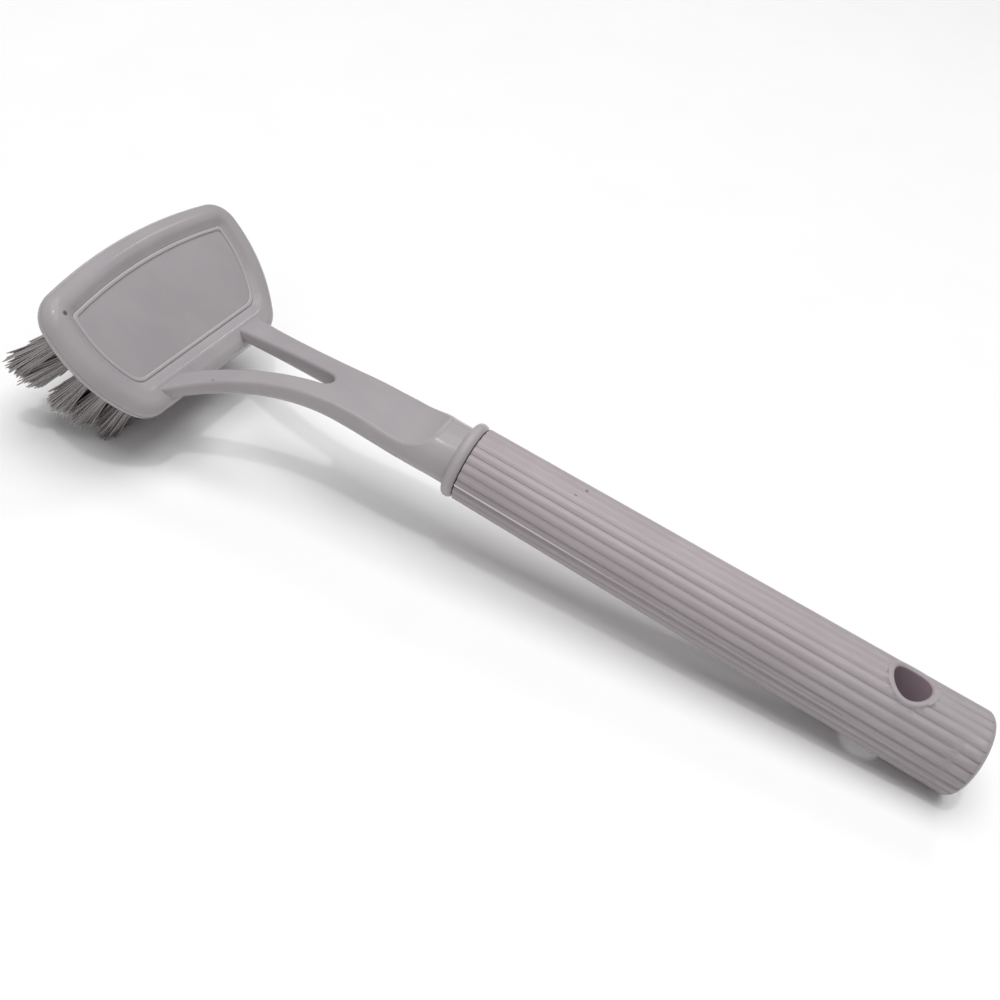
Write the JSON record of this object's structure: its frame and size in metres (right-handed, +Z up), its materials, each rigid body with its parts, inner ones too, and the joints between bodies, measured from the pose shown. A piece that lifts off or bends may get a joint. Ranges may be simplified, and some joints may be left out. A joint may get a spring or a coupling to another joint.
{
  "type": "dish brush",
  "caption": "Dish brush with a fan-shaped bristle head on a two-armed fork and a ribbed round handle with a hanging hole near its end.",
  "frame": {"origin": "on the surface the brush rests on, under the middle of its bounding box", "axes": "+X along the brush from the head towards the handle's end, +Y across the head, +Z up, with the brush lying bristles down on its rear tufts and the end of its handle"},
  "size_m": [0.266, 0.079, 0.048],
  "materials": {
    "frame_plastic": "satin",
    "sleeve_plastic": "matte",
    "bristle": "satin",
    "anchor_metal": "bright"
  },
  "bodies": {
    "root": {"head_and_neck": "frame_plastic", "handle_sleeve": "sleeve_plastic", "tuft_anchors": "anchor_metal", "tuft_row1_01": "bristle", "tuft_row1_02": "bristle", "tuft_row1_03": "bristle", "tuft_row1_04": "bristle", "tuft_row1_05": "bristle", "tuft_row1_06": "bristle", "tuft_row1_07": "bristle", "tuft_row1_08": "bristle", "tuft_row1_09": "bristle", "tuft_row1_10": "bristle", "tuft_row1_11": "bristle", "tuft_row2_01": "bristle", "tuft_row2_02": "bristle", "tuft_row2_03": "bristle", "tuft_row2_04": "bristle", "tuft_row2_05": "bristle", "tuft_row2_06": "bristle", "tuft_row2_07": "bristle", "tuft_row2_08": "bristle", "tuft_row2_09": "bristle", "tuft_row2_10": "bristle", "tuft_row3_01": "bristle", "tuft_row3_02": "bristle", "tuft_row3_03": "bristle", "tuft_row3_04": "bristle", "tuft_row3_05": "bristle", "tuft_row3_06": "bristle", "tuft_row3_07": "bristle", "tuft_row3_08": "bristle", "tuft_row3_09": "bristle", "tuft_row3_10": "bristle", "tuft_row3_11": "bristle", "tuft_row4_01": "bristle", "tuft_row4_02": "bristle", "tuft_row4_03": "bristle", "tuft_row4_04": "bristle", "tuft_row4_05": "bristle", "tuft_row4_06": "bristle", "tuft_row4_07": "bristle", "tuft_row4_08": "bristle", "tuft_row4_09": "bristle", "tuft_row4_10": "bristle", "tuft_row5_01": "bristle", "tuft_row5_02": "bristle", "tuft_row5_03": "bristle", "tuft_row5_04": "bristle", "tuft_row5_05": "bristle", "tuft_row5_06": "bristle", "tuft_row5_07": "bristle", "tuft_row5_08": "bristle"}
  },
  "joints": []
}
